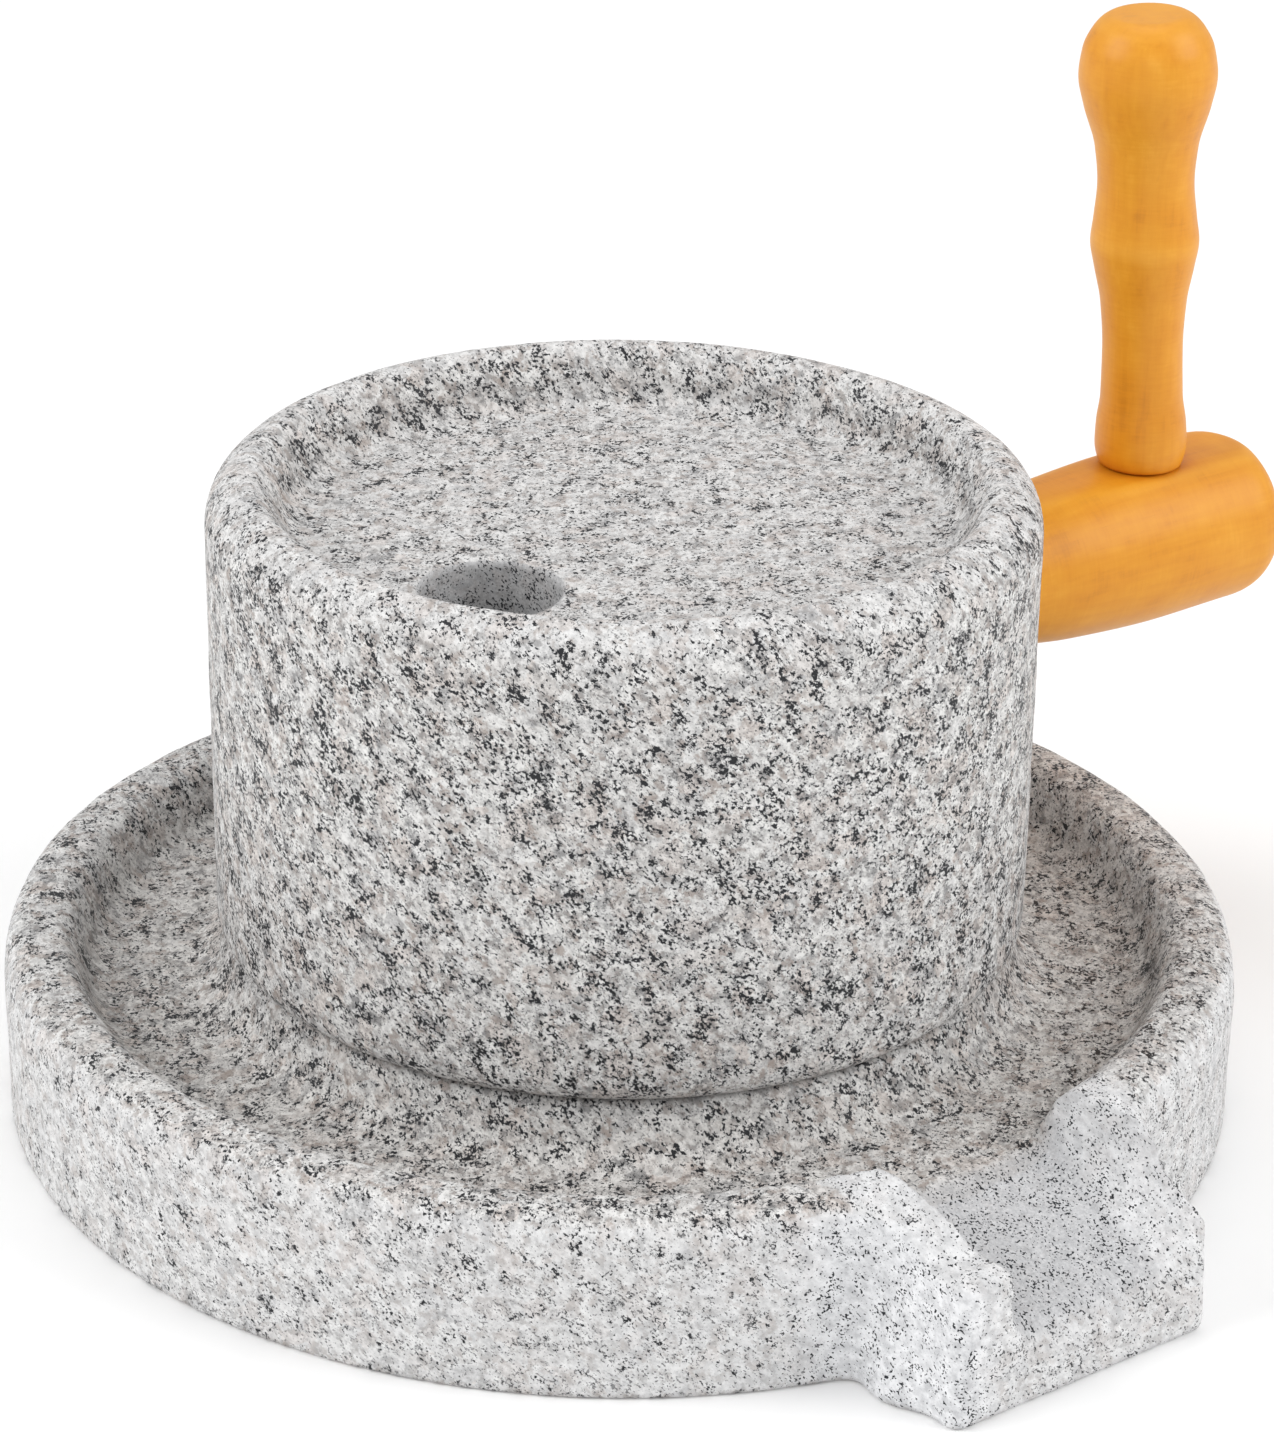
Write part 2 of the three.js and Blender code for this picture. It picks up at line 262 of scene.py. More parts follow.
def grip_field(p):
    x, y, z = p.T
    dx = x - GRIP_X
    dz = z - GRIP_SEAT_Z
    along = -dx * math.sin(GRIP_LEAN) + dz * math.cos(GRIP_LEAN)
    side = dx * math.cos(GRIP_LEAN) + dz * math.sin(GRIP_LEAN)
    stick = np.hypot(side, y) - GRIP_PROFILE(along)
    stick = smooth_max(stick, along - GRIP_LENGTH, 2.2)
    return smooth_max(stick, -dz, 0.8)


# ---------------------------------------------------------------- surfaces from fields

def gradient(field, points, reach=0.06):
    result = np.empty_like(points)
    for axis in range(3):
        ahead = points.copy()
        behind = points.copy()
        ahead[:, axis] += reach
        behind[:, axis] -= reach
        result[:, axis] = (field(ahead) - field(behind)) / (2 * reach)
    return result


def settle(field, points, step, rounds):
    """Moves points onto the field's zero surface."""
    for _ in range(rounds):
        slope = gradient(field, points)
        size = np.maximum((slope ** 2).sum(1), 1e-6)
        move = slope * (field(points) / size)[:, None]
        length = np.maximum(np.linalg.norm(move, axis=1), 1e-9)
        points = points - move * np.minimum(1, 0.7 * step / length)[:, None]
    return points


def relax(points, faces):
    """Each point moves half way to the mean of its neighbours."""
    edges = np.concatenate([faces[:, [i, (i + 1) % 4]] for i in range(4)])
    total = np.zeros_like(points)
    count = np.zeros(len(points))
    np.add.at(total, edges[:, 0], points[edges[:, 1]])
    np.add.at(count, edges[:, 0], 1)
    return (points + total / count[:, None]) / 2


def crossing_points(value, inside):
    """A point in each grid cell that the surface crosses, in cells, and every such cell's number."""
    corners = [(i, j, k) for i in (0, 1) for j in (0, 1) for k in (0, 1)]
    window = [tuple(slice(c, n - 1 + c) for c, n in zip(corner, value.shape)) for corner in corners]
    filled = sum(inside[w].astype(np.int8) for w in window)
    crossed = (filled > 0) & (filled < 8)
    cells = np.argwhere(crossed)
    number = np.full(crossed.shape, -1)
    number[crossed] = np.arange(len(cells))
    at = [value[w][crossed] for w in window]
    total = np.zeros((len(cells), 3))
    count = np.zeros(len(cells))
    for a in range(8):
        for b in range(a + 1, 8):
            if sum(abs(p - q) for p, q in zip(corners[a], corners[b])) != 1:
                continue
            cut = (at[a] < 0) != (at[b] < 0)
            share = at[a] / np.where(cut, at[a] - at[b], 1)
            start = np.array(corners[a])
            place = start + share[:, None] * (np.array(corners[b]) - start)
            total += np.where(cut[:, None], place, 0)
            count += cut
    return cells + total / count[:, None], number


def quads(inside, number):
    """A quad round each grid edge that the surface crosses, facing out of the solid."""
    faces = []
    for axis in range(3):
        u, v = [(1, 2), (2, 0), (0, 1)][axis]
        near = [slice(None)] * 3
        far = [slice(None)] * 3
        near[axis] = slice(0, -1)
        far[axis] = slice(1, None)
        change = inside[tuple(near)] != inside[tuple(far)]
        edge = np.argwhere(change)
        edge = edge[(edge[:, u] > 0) & (edge[:, v] > 0)]
        outward = inside[tuple(near)][tuple(edge.T)]
        ring = []
        for du, dv in ((-1, -1), (0, -1), (0, 0), (-1, 0)):
            cell = edge.copy()
            cell[:, u] += du
            cell[:, v] += dv
            ring.append(number[tuple(cell.T)])
        quad = np.stack(ring, 1)
        faces.append(np.where(outward[:, None], quad, quad[:, ::-1]))
    return np.concatenate(faces)


def contour(field, low, high, step):
    """An even mesh of quads on the zero surface of a field, with vertices about a step apart."""
    axes = [np.arange(lo - 1.5 * step, hi + 2.5 * step, step) for lo, hi in zip(low, high)]
    grid = np.stack(np.meshgrid(*axes, indexing="ij"), -1).reshape(-1, 3)
    value = field(grid).reshape([len(a) for a in axes])
    inside = value < 0
    cells, number = crossing_points(value, inside)
    points = cells * step + np.array([a[0] for a in axes])
    faces = quads(inside, number)
    points = settle(field, points, step, 3)
    for _ in range(2):
        points = settle(field, relax(points, faces), step, 2)
    return points, faces


def build(name, points, faces, layers):
    """A smooth-shaded mesh object from millimetre points, with named values for each point."""
    mesh = bpy.data.meshes.new(name)
    mesh.from_pydata((points * MM).tolist(), [], faces.tolist())
    mesh.shade_smooth()
    for key, values in layers.items():
        layer = mesh.attributes.new(key, "FLOAT", "POINT")
        layer.data.foreach_set("value", np.asarray(values, np.float32))
    obj = bpy.data.objects.new(name, mesh)
    bpy.context.scene.collection.objects.link(obj)
    return obj


def unit(vectors):
    return vectors / np.maximum(np.linalg.norm(vectors, axis=1), 1e-9)[:, None]


def hand_cut(points, normals, depth, seed):
    """Moves the surface by the shallow unevenness of a hand-dressed stone, mostly inwards."""
    broad = 0.5 + 0.5 * lattice(points, 34, seed)
    middle = 0.5 + 0.5 * lattice(points, 11, seed + 1)
    small = 0.5 + 0.5 * lattice(points, 4.2, seed + 2)
    inward = depth * (0.5 * broad + 0.32 * middle + 0.18 * small - 0.3)
    return points - normals * inward[:, None]


# ---------------------------------------------------------------- pieces

# Distance between the vertices of each fine mesh.
TRAY_STEP = 1.75
RUNNER_STEP = 1.6
ARM_STEP = 1.25
GRIP_STEP = 1.0

# Depth of the hand-dressed stone's unevenness, and of the chisel flutes by the spout.
TROUGH_UNEVEN = 0.9
WALL_UNEVEN = 0.4
RUNNER_UNEVEN = 0.6
FLUTE_DEPTH = 1.3
FLUTE_WIDTH = 8.5

TRAY_SEED = 11
FLUTE_SEED = 17
RUNNER_SEED = 23

# How freshly cut each face of the stones is, and how much painted shade, with some darker worn and dirty
# stone, darkens it.
WALL_FRESH = 0.85
# Partly duller, more flecked stone and partly painted shade for the softer light on the left of the outer
# wall.
WALL_LEFT_WEAR_AND_SHADE = 0.25
SPOUT_FRESH = 1.25
SPOUT_TIP_WORN = 0.4
HEWN_FRESH = 1.6
DISH_FRESH = 0.3
CREST_FRESH = 0.38
TROUGH_SHADE = 0.66
BOSS_SHADE = 0.15
JOINT_SHADE = 0.42
DISH_SHADE = 0.1


def tray_layers(points, normals, radius, outward, side):
    """How freshly cut and tooled the tray is at each point, and how much painted shade, with some dust in
    the trough, darkens it, from 0 up.
    """
    in_spout = ramp(outward, SPOUT_START, SPOUT_START + 3) * ramp(-np.abs(points[:, 0]), -44, -38)
    hewn = side * ramp(outward, SPOUT_START + 6, SPOUT_START + 16) * ramp(-points[:, 0], 10, 34)
    # The outer wall is less fresh toward the left: partly duller, more flecked stone, partly painted shade
    # for the softer light there.
    left_wear_and_shade = WALL_LEFT_WEAR_AND_SHADE * ramp(-points[:, 0], 40, 130)
    tip = ramp(-normals[:, 1], 0.6, 0.9)
    wall_fresh = (WALL_FRESH - left_wear_and_shade) * side
    spout_fresh = (SPOUT_FRESH - SPOUT_TIP_WORN * tip) * in_spout
    across = points[:, 0] - SPOUT_OFFSET
    below_ledge = ramp(across + LEFT_TOP(outward), -0.2, 1.0)
    short_of_cheek = ramp(RIGHT_FOOT(outward) + 3 - across, -3, 1)
    past_trough = ramp(outward, SPOUT_START + 0.5, SPOUT_START + 2.5)
    on_floor = past_trough * ramp(SPOUT_REACH - outward, 0.5, 4) * (normals[:, 2] > 0.2)
    # The lower trough, where painted shade with some dust darkens the stone.
    cavity = ramp(-points[:, 2], -RIM_Z + 3, -TROUGH_Z) * (radius < TROUGH_OUTER) * (radius > 90)
    steep = ramp(1 - normals[:, 2], 0.12, 0.6)
    joint = ramp(radius, 91, 95) * ramp(-radius, -TROUGH_INNER - 1.5, -TROUGH_INNER + 0.5)
    walls = np.where(radius > 120, TROUGH_SHADE, BOSS_SHADE) * cavity * steep * (1 - in_spout)
    return {
        "fresh": np.maximum(np.maximum(wall_fresh, spout_fresh), HEWN_FRESH * hewn),
        "tooled": on_floor * below_ledge * short_of_cheek,
        "cavity": cavity,
        "shade": np.maximum(walls, JOINT_SHADE * joint),
    }


def tray_stone():
    points, faces = contour(tray_field, TRAY_LOW, TRAY_HIGH, TRAY_STEP)
    normals = unit(gradient(tray_field, points))
    radius = np.hypot(points[:, 0], points[:, 1])
    outward = -points[:, 1]
    side = ramp(np.hypot(normals[:, 0], normals[:, 1]), 0.35, 0.8) * ramp(radius, 146, 150)
    layers = tray_layers(points, normals, radius, outward, side)
    clear_of_runner = ramp(radius, TROUGH_INNER - 0.6, TROUGH_INNER + 4)
    clear_of_floor = ramp(points[:, 2], 0.3, 3)
    uneven = (TROUGH_UNEVEN * clear_of_runner + WALL_UNEVEN * side) * clear_of_floor
    points = hand_cut(points, normals, uneven, TRAY_SEED)
    flutes = 0.5 + 0.5 * lattice(points * (1, 1, 0.3), FLUTE_WIDTH, FLUTE_SEED)
    chiselled = side * ramp(outward, SPOUT_START + 2, SPOUT_START + 12) * clear_of_floor
    points = points - normals * (FLUTE_DEPTH * chiselled * (flutes - 0.4))[:, None]
    return build("tray_stone", points, faces, layers)


def runner_stone():
    points, faces = contour(runner_field, RUNNER_LOW, RUNNER_HIGH, RUNNER_STEP)
    normals = unit(gradient(runner_field, points))
    radius = np.hypot(points[:, 0], points[:, 1])
    from_feed = np.hypot(points[:, 0] - FEED_CENTRE[0], points[:, 1] - FEED_CENTRE[1])
    drilled = ramp(-from_feed, -FEED_RADIUS - 1.2, -FEED_RADIUS - 0.2)
    dish = ramp(-radius, -DISH_EDGE, 4 - DISH_EDGE) * (points[:, 2] > DISH_Z - 2)
    by_feed = ramp(-from_feed, -FEED_RADIUS - 5, -FEED_RADIUS - 3)
    steep = ramp(1 - normals[:, 2], 0.1, 0.6) * (1 - by_feed)
    wall = ramp(1 - normals[:, 2], 0.2, 0.75) * (1 - by_feed)
    joint = ramp(-points[:, 2], -RUNNER_BASE - 2.4, -RUNNER_BASE - 0.3)
    crest = ramp(radius, DISH_EDGE, DISH_EDGE + 4) * ramp(points[:, 2], RUNNER_TOP - 8, RUNNER_TOP - 3)
    clear_of_tray = ramp(points[:, 2], RUNNER_BASE + 0.5, RUNNER_BASE + 4)
    points = hand_cut(points, normals, RUNNER_UNEVEN * clear_of_tray * (1 - drilled), RUNNER_SEED)
    return build("runner_stone", points, faces, {
        "fresh": np.maximum(DISH_FRESH * dish * (1 - steep), CREST_FRESH * crest),
        "cavity": 0 * radius,
        "shade": np.maximum(dish * np.maximum(wall, DISH_SHADE), joint),
    })


def arm_wood():
    points, faces = contour(arm_field, ARM_LOW, ARM_HIGH, ARM_STEP)
    normals = unit(gradient(arm_field, points))
    flat = ramp(normals[:, 2], 0.9, 0.99) * ramp(points[:, 2], ARM_FLAT_Z - 1.2, ARM_FLAT_Z - 0.2)
    foot = ramp(-np.hypot(points[:, 0] - GRIP_X, points[:, 1]), -16.5, -12.5) * flat
    root = ramp(-points[:, 0], -104, -100)
    end = ramp(points[:, 0], ARM_END - 9, ARM_END - 2)
    # Painted shadow of the grip's foot and painted shade where the arm enters the runner, with a darker
    # tone on the flat top and the far end.
    return build("arm_wood", points, faces, {
        "shade_and_dark_tone": np.maximum(np.maximum(0.22 * flat, 0.9 * foot), np.maximum(0.7 * root, 0.3 * end)),
        "worn": ramp(points[:, 2], ARM_FLAT_Z - 3, ARM_FLAT_Z - 1) * (1 - flat),
    })


def grip_wood():
    points, faces = contour(grip_field, GRIP_LOW, GRIP_HIGH, GRIP_STEP)
    height = points[:, 2] - GRIP_SEAT_Z
    waist = ramp(-height, -62, -20)
    ring = ramp(-abs(height - 61.5), -3, -1)
    # Painted shade on the grip's lower half and where it meets the arm.
    return build("grip_wood", points, faces, {
        "shade_and_dark_tone": np.maximum(0.28 * waist, ramp(-height, -4, -0.5)),
        "worn": 0.7 * ramp(height, GRIP_LENGTH - 5, GRIP_LENGTH - 3) + 0.5 * ring,
    })


tray = tray_stone()
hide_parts("lower_stone")

runner = runner_stone()
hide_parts("upper_stone")

arm = arm_wood()
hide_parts("handle_arm")

grip = grip_wood()
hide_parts("handle_grip")


# ---------------------------------------------------------------- materials

class Shader:
    """Short ways to add nodes to one material."""

    def __init__(self, name):
        self.material = bpy.data.materials.new(name)
        self.material.use_nodes = True
        self.tree = self.material.node_tree
        self.surface = self.tree.nodes["Principled BSDF"]

    def put(self, socket, value):
        if isinstance(value, bpy.types.NodeSocket):
            self.tree.links.new(value, socket)
        else:
            socket.default_value = value

    def add(self, kind, sockets, **settings):
        node = self.tree.nodes.new(kind)
        for key, value in settings.items():
            setattr(node, key, value)
        for key, value in sockets.items():
            self.put(node.inputs[key], value)
        return node

    def math(self, operation, a, b=0.0, c=0.0, clamp=False):
        node = self.add("ShaderNodeMath", {0: a, 1: b, 2: c}, operation=operation, use_clamp=clamp)
        return node.outputs[0]

    def blend(self, share, a, b, kind="MIX"):
        sockets = {"Factor": share, 6: a, 7: b}
        node = self.add("ShaderNodeMix", sockets, data_type="RGBA", blend_type=kind)
        return node.outputs[2]

    def steps(self, value, *stops, mode="LINEAR"):
        node = self.add("ShaderNodeValToRGB", {0: value})
        node.color_ramp.interpolation = mode
        elements = node.color_ramp.elements
        while len(elements) < len(stops):
            elements.new(0.5)
        for element, (place, colour) in zip(elements, stops):
            element.position = place
            element.color = (*colour, 1)
        return node.outputs[0]

    def window(self, value, start, end):
        node = self.add("ShaderNodeMapRange", {0: value, 1: start, 2: end}, interpolation_type="SMOOTHSTEP")
        return node.outputs[0]

    def noise(self, place, size, detail=2.0, rough=0.5, out=0):
        sockets = {"Vector": place, "Scale": 1 / size, "Detail": detail, "Roughness": rough}
        return self.add("ShaderNodeTexNoise", sockets).outputs[out]

    def cells(self, place, size):
        return self.add("ShaderNodeTexVoronoi", {"Vector": place, "Scale": 1 / size}).outputs["Color"]

    def layer(self, name):
        return self.add("ShaderNodeAttribute", {}, attribute_name=name).outputs["Fac"]

    def place(self, scale=(1 / MM,) * 3, offset=(0, 0, 0), turn=(0, 0, 0)):
        source = self.add("ShaderNodeTexCoord", {}).outputs["Object"]
        turned = self.add("ShaderNodeMapping", {0: source, "Rotation": turn}).outputs[0]
        node = self.add("ShaderNodeMapping", {0: turned, "Scale": scale, "Location": offset})
        return node.outputs[0]

    def warp(self, place, size, amount):
        wander = self.noise(place, size, 2.0, 0.5, 1)
        centred = self.add("ShaderNodeVectorMath", {0: wander, 1: (0.5, 0.5, 0.5)}, operation="SUBTRACT")
        scaled = self.add("ShaderNodeVectorMath", {0: centred.outputs[0]}, operation="SCALE")
        scaled.inputs["Scale"].default_value = amount
        moved = self.add("ShaderNodeVectorMath", {0: place, 1: scaled.outputs[0]}, operation="ADD")
        return moved.outputs[0]

    def random(self, colour):
        return self.add("ShaderNodeSeparateColor", {0: colour}).outputs[0]


# The stone's grains lie flattened along a slope, which this turn lays level.
SLOPE = Matrix.Rotation(math.radians(-45), 3, "Y")
FOLIATION = (SLOPE @ Matrix.Rotation(math.radians(36), 3, "Z")).to_euler()
FLATTENED = 1.4

# Sizes of the granite's grains and of their gatherings, in millimetres.
FELDSPAR = 4.2
MOTTLE = 1.8
HAZE = 3.2
TOOL_DUST = 0.8
QUARTZ = 3.3
QUARTZ_STAIN = 6.0
MICA = 1.0
MICA_CLUMP = 2.7
MICA_CLUSTER = 6.0
GRIT = 0.72
GRIT_CLUSTER = 4.0

MICA_GREY = (0.165, 0.17, 0.18, 1)
MICA_BLACK = (0.010, 0.011, 0.014, 1)
GRIT_BLACK = (0.02, 0.022, 0.026, 1)
# Multiplied into the lower trough: painted shade with some dust.
DUST_AND_SHADE_TINT = (0.92, 0.90, 0.88, 1)
SHADE_TINT = (0.50, 0.49, 0.48, 1)
BORE_SHADE = 0.14


def feldspar(s, place, layered, fresh, tooled):
    """The pale ground of the stone, whiter where freshly cut and greyer where tooled."""
    bent = s.warp(place, 2.0, 3.0)
    stone = s.steps(
        s.random(s.cells(bent, FELDSPAR)),
        (0.0, (0.79, 0.785, 0.77)),
        (0.34, (0.72, 0.71, 0.70)),
        (0.52, (0.61, 0.595, 0.58)),
        (0.68, (0.62, 0.55, 0.51)),
        (0.84, (0.73, 0.725, 0.72)),
        (1.0, (0.44, 0.435, 0.435)),
    )
    mottle = s.noise(layered, MOTTLE, 3.0, 0.7)
    stone = s.blend(0.45, stone, s.steps(mottle, (0.36, (0.25, 0.245, 0.243)), (0.60, (0.84, 0.832, 0.82))))
    haze = s.noise(layered, HAZE, 4.0, 0.68)
    pale = s.steps(haze, (0.34, (0.53, 0.535, 0.55)), (0.62, (0.83, 0.835, 0.85)))
    stone = s.blend(s.math("MULTIPLY", fresh, 0.60), stone, pale)
    dust = s.noise(place, TOOL_DUST, 3.0, 0.7)
    dressed = s.steps(dust, (0.34, (0.31, 0.315, 0.33)), (0.66, (0.60, 0.60, 0.61)))
    return s.blend(s.math("MULTIPLY", tooled, 0.65), stone, dressed)


def with_quartz(s, stone, place, layered, cut):
    """Smoky quartz in cloudy patches, fainter where the stone is cut."""
    smoke = s.noise(layered, QUARTZ, 4.0, 0.66)
    quartz = s.window(smoke, 0.49, 0.62)
    quartz = s.math("MULTIPLY", quartz, s.math("MULTIPLY_ADD", cut, -0.5, 0.72))
    stain = s.noise(place, QUARTZ_STAIN)
    tone = s.steps(stain, (0.38, (0.18, 0.178, 0.18)), (0.62, (0.31, 0.252, 0.22)))
    return s.blend(quartz, stone, tone)


def mica_score(s, layered, fresh, tooled, dark):
    """High where mica gathers: fine specks, raised in clumps and clusters, lowered where cut."""
    cluster = s.noise(layered, MICA_CLUSTER, 3.0, 0.62)
    speck = s.noise(s.warp(layered, 0.9, 0.9), MICA, 2.5, 0.62)
    clump = s.noise(layered, MICA_CLUMP, 1.0, 0.5)
    score = s.math("MULTIPLY_ADD", cluster, 0.64, speck)
    score = s.math("MULTIPLY_ADD", clump, 0.24, score)
    score = s.math("MULTIPLY_ADD", fresh, -0.09, score)
    score = s.math("MULTIPLY_ADD", tooled, -0.10, score)
    return s.math("ADD", score, dark)


def grit_share(s, place, layered, fresh, tooled, cut):
    """Where the small dark grains of the freshly cut faces show."""
    grit = s.noise(layered, GRIT, 1.0, 0.5)
    sparse = s.math("MULTIPLY_ADD", s.noise(place, GRIT_CLUSTER, 2.0, 0.5), 0.42, grit)
    sparse = s.math("MULTIPLY_ADD", tooled, 0.022, sparse)
    sparse = s.math("MULTIPLY_ADD", fresh, -0.008, sparse)
    return s.math("MULTIPLY", s.window(sparse, 0.832, 0.872), s.math("MAXIMUM", cut, 0.5))


def stone_relief(s, place, fleck):
    """Pits and dents of the dressed stone, with the soft mica a little lower."""
    pits = s.noise(place, 0.9, 3.0, 0.7)
    dents = s.noise(place, 3.2, 2.0, 0.5)
    height = s.math("MULTIPLY_ADD", dents, 0.8, pits)
    height = s.math("MULTIPLY_ADD", fleck, -0.25, height)
    return s.add("ShaderNodeBump", {"Strength": 0.35, "Distance": 0.35 * MM, "Height": height}).outputs[0]


def granite(name, seed, dark, bore=None):
    """Feldspar, quartz and mica grains; fresh cuts whiten the stone, and painted shade, with some dust and
    darker worn stone, darkens its hollows, walls and joints.

    dark adds mica, and bore gives the share of a drilled hole where no layer does.
    """
    s = Shader(name)
    place = s.place(offset=(seed, seed * 1.7, seed * 0.6))
    layered = s.place((1 / MM, 1 / MM, FLATTENED / MM), (seed, seed, seed * 0.3), FOLIATION)
    fresh = s.layer("fresh")
    tooled = bore(s) if bore else s.layer("tooled")
    cut = s.math("MAXIMUM", fresh, tooled)

    stone = feldspar(s, place, layered, fresh, tooled)
    stone = with_quartz(s, stone, place, layered, cut)
    score = mica_score(s, layered, fresh, tooled, dark)
    fleck = s.window(score, 1.022, 1.060)
    stone = s.blend(s.math("MULTIPLY", s.window(score, 0.957, 1.058), 0.55), stone, MICA_GREY)
    stone = s.blend(s.math("MULTIPLY", fleck, 0.98), stone, MICA_BLACK)
    grit = grit_share(s, place, layered, fresh, tooled, cut)
    stone = s.blend(s.math("MULTIPLY", grit, 0.95), stone, GRIT_BLACK)

    # Painted shade, with some dust, darkens the lower trough.
    dust_and_shade = s.blend(1.0, stone, DUST_AND_SHADE_TINT, "MULTIPLY")
    stone = s.blend(s.math("MULTIPLY", s.layer("cavity"), 0.75), stone, dust_and_shade)
    in_bore = s.math("MULTIPLY", tooled, BORE_SHADE if bore else 0.0)
    shade = s.math("MAXIMUM", s.layer("shade"), in_bore)
    shaded = s.blend(1.0, stone, SHADE_TINT, "MULTIPLY")
    stone = s.blend(s.math("MULTIPLY", shade, 0.9), stone, shaded)
    s.put(s.surface.inputs["Base Color"], stone)

    s.surface.inputs["Specular IOR Level"].default_value = 0.3
    matt = s.math("MULTIPLY_ADD", fleck, -0.15, 0.62)
    matt = s.math("MULTIPLY_ADD", fresh, 0.14, matt)
    s.put(s.surface.inputs["Roughness"], matt)
    s.put(s.surface.inputs["Normal"], stone_relief(s, place, fleck))
    return s.material


# The wood's pattern is drawn out along its grain, and its turning marks are drawn out round it.
GRAIN_STRETCH = 0.07
RING_STRETCH = 0.12

PORE_BROWN = (0.50, 0.17, 0.01, 1)
WORN_YELLOW = (0.88, 0.44, 0.06, 1)
# Multiplied in for painted shade and a darker tone on the wood.
SHADE_AND_DARK_TONE_TINT = (0.86, 0.76, 0.55, 1)


def varnished_wood(name, along, seed):
    """Yellow hardwood under satin varnish: grain along one axis, faint turning marks around it."""
    s = Shader(name)
    lengthways = [1 / MM] * 3
    lengthways[along] *= GRAIN_STRETCH
    around = [RING_STRETCH / MM] * 3
    around[along] = 1 / MM
    place = s.place(offset=(seed, seed * 0.4, seed * 1.3))
    grain = s.place(tuple(lengthways), (seed, seed * 0.7, seed * 0.2))
    rings = s.noise(s.place(tuple(around), (seed, seed, seed)), 0.8, 3.0, 0.65)
    streak = s.noise(s.warp(grain, 9.0, 3.0), 2.4, 4.0, 0.62)
    fine = s.noise(grain, 0.5, 2.0, 0.6)
    cloud = s.noise(place, 16.0, 3.0, 0.6)
    tone = s.math("MULTIPLY_ADD", streak, 0.32, s.math("MULTIPLY", cloud, 0.50))
    tone = s.math("MULTIPLY_ADD", rings, 0.18, tone)
    wood = s.steps(
        tone,
        (0.34, (0.62, 0.225, 0.008)),
        (0.45, (0.725, 0.28, 0.010)),
        (0.56, (0.765, 0.315, 0.015)),
        (0.68, (0.82, 0.365, 0.028)),
    )
    pores = s.window(fine, 0.62, 0.76)
    wood = s.blend(s.math("MULTIPLY", pores, 0.12), wood, PORE_BROWN)
    # Painted shade at the joints, under the grip's foot and on the grip's lower half, and a darker tone in
    # places.
    shaded_and_darker = s.blend(1.0, wood, SHADE_AND_DARK_TONE_TINT, "MULTIPLY")
    wood = s.blend(s.layer("shade_and_dark_tone"), wood, shaded_and_darker)
    wood = s.blend(s.math("MULTIPLY", s.layer("worn"), 0.35), wood, WORN_YELLOW)
    s.put(s.surface.inputs["Base Color"], wood)
    s.put(s.surface.inputs["Roughness"], s.math("MULTIPLY_ADD", streak, 0.14, 0.38))
    s.surface.inputs["Specular IOR Level"].default_value = 0.35
    s.surface.inputs["Coat Weight"].default_value = 0.12
    s.surface.inputs["Coat Roughness"].default_value = 0.3
    relief = s.math("MULTIPLY_ADD", fine, 0.4, rings)
    bump = s.add("ShaderNodeBump", {"Strength": 0.12, "Distance": 0.2 * MM, "Height": relief})
    s.put(s.surface.inputs["Normal"], bump.outputs[0])
    return s.material


def feed_bore(s):
    """The wall of the feed hole, told from the stone around it by its distance from the hole's axis."""
    place = s.add("ShaderNodeTexCoord", {}).outputs["Object"]
    centre = (FEED_CENTRE[0] * MM, FEED_CENTRE[1] * MM, 0)
    offset = s.add("ShaderNodeVectorMath", {0: place, 1: centre}, operation="SUBTRACT").outputs[0]
    level = s.add("ShaderNodeVectorMath", {0: offset, 1: (1, 1, 0)}, operation="MULTIPLY").outputs[0]
    distance = s.add("ShaderNodeVectorMath", {0: level}, operation="LENGTH").outputs["Value"]
    return s.window(distance, (FEED_RADIUS + 0.8) * MM, (FEED_RADIUS + 0.5) * MM)


tray.data.materials.append(granite("tray_granite", 13.0, 0.0))
runner.data.materials.append(granite("runner_granite", 57.0, 0.012, feed_bore))
arm.data.materials.append(varnished_wood("arm_wood", 0, 5.0))
grip.data.materials.append(varnished_wood("grip_wood", 2, 31.0))

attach(tray, "base")
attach(runner, "runner")
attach(arm, "runner")
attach(grip, "runner")


# ---------------------------------------------------------------- floor, light and camera

FLOOR_SIZE = 30
FLOOR_Z = -0.0002
FLOOR_WHITE = (0.97, 0.97, 0.97)


def plain(name, colour):
    material = bpy.data.materials.new(name)
    material.use_nodes = True
    surface = material.node_tree.nodes["Principled BSDF"]
    surface.inputs["Base Color"].default_value = (*colour, 1)
    surface.inputs["Roughness"].default_value = 0.9
    return material


bpy.ops.mesh.primitive_plane_add(size=FLOOR_SIZE, location=(0, 0, FLOOR_Z))
floor = bpy.context.object
floor.name = "studio_floor"
floor.data.materials.append(plain("studio_floor", FLOOR_WHITE))

CAMERA_AZIMUTH = math.radians(-36.0)
CAMERA_DISTANCE = 935.3 * MM
CAMERA_HEIGHT = 529.9 * MM
CAMERA_PITCH = math.radians(24.9)
CAMERA_TURN = math.radians(0.22)
CAMERA_ROLL = math.radians(0.76)
CAMERA_LENS = 106.1


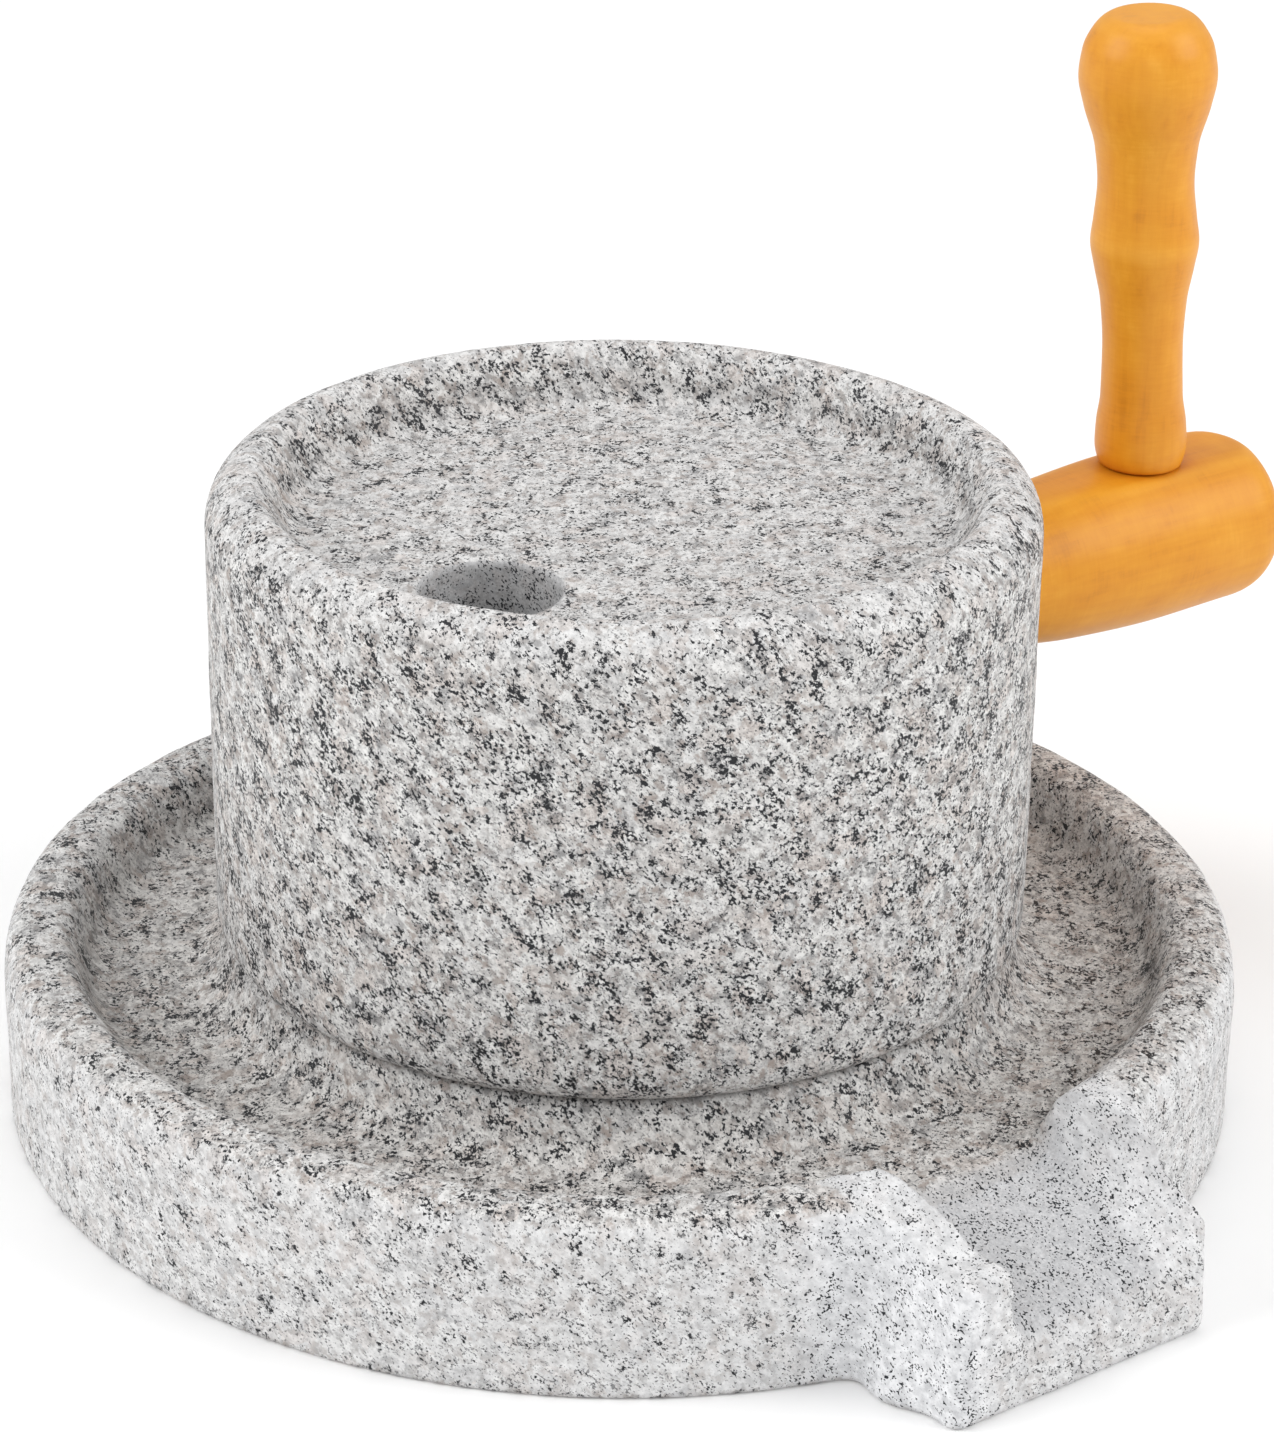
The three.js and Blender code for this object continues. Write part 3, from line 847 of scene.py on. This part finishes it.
def facing(azimuth):
    """The direction out from the axis towards a viewer at this azimuth; 0 is the spout's side."""
    return Vector((math.sin(azimuth), -math.cos(azimuth), 0))


def add_camera():
    heading = -facing(CAMERA_AZIMUTH - CAMERA_TURN)
    forward = heading * math.cos(CAMERA_PITCH) - Vector((0, 0, math.sin(CAMERA_PITCH)))
    right = heading.cross(Vector((0, 0, 1)))
    up = right.cross(forward)
    turned_right = right * math.cos(CAMERA_ROLL) + up * math.sin(CAMERA_ROLL)
    turned_up = up * math.cos(CAMERA_ROLL) - right * math.sin(CAMERA_ROLL)
    data = bpy.data.cameras.new("camera")
    data.lens = CAMERA_LENS
    data.clip_end = 20
    camera = bpy.data.objects.new("camera", data)
    turn = Matrix((turned_right, turned_up, -forward)).transposed().to_4x4()
    spot = facing(CAMERA_AZIMUTH) * CAMERA_DISTANCE + Vector((0, 0, CAMERA_HEIGHT))
    camera.matrix_world = Matrix.Translation(spot) @ turn
    bpy.context.scene.collection.objects.link(camera)
    bpy.context.scene.camera = camera


AIM = Vector((0, 0, 0.08))


def soft_light(name, azimuth, distance, height, size, power):
    """A round area light at this azimuth, distance and height in metres, aimed at the stones."""
    data = bpy.data.lights.new(name, "AREA")
    data.shape = "DISK"
    data.size = size
    data.energy = power
    light = bpy.data.objects.new(name, data)
    light.location = facing(math.radians(azimuth)) * distance + Vector((0, 0, height))
    aim = AIM - light.location
    light.rotation_euler = aim.to_track_quat("-Z", "Y").to_euler()
    bpy.context.scene.collection.objects.link(light)


add_camera()
soft_light("key", azimuth=-112, distance=3.1, height=2.3, size=2.5, power=61)
soft_light("fill", azimuth=42, distance=3.1, height=2.1, size=2.5, power=53)
soft_light("front", azimuth=-36, distance=4.0, height=1.75, size=2.5, power=17)
soft_light("top", azimuth=150, distance=0.9, height=4.1, size=2.9, power=24)

WORLD_STRENGTH = 0.62

world = bpy.data.worlds.new("studio")
world.use_nodes = True
background = world.node_tree.nodes["Background"]
background.inputs["Color"].default_value = (1, 1, 1, 1)
background.inputs["Strength"].default_value = WORLD_STRENGTH
bpy.context.scene.world = world
bpy.context.scene.view_settings.view_transform = "Standard"
